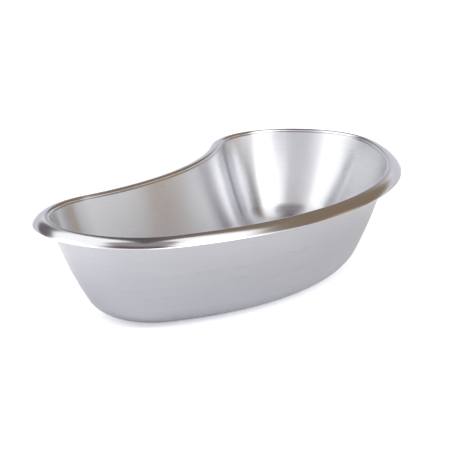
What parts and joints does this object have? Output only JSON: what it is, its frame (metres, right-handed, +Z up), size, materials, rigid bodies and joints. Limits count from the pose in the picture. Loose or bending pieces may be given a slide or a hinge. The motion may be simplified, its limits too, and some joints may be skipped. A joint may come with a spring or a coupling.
{
  "type": "kidney dish",
  "caption": "Shallow kidney-shaped steel dish with flat base, sloping walls, open top and a polished turned-over rim, for holding instruments and catching fluids against the body.",
  "frame": {"origin": "on the underside of the flat base, under the middle of the overall length and width", "axes": "+X along the dish's length, +Y towards its hollow side, +Z up from the table"},
  "size_m": [0.25, 0.12, 0.045],
  "materials": {
    "satin_steel": "satin stainless steel, fine grain running along the wall, softly reflecting",
    "polished_steel": "the same stainless steel, polished bright on the rim"
  },
  "bodies": {
    "root": {"bowl": "satin_steel", "turned_rim": "polished_steel"}
  },
  "joints": []
}
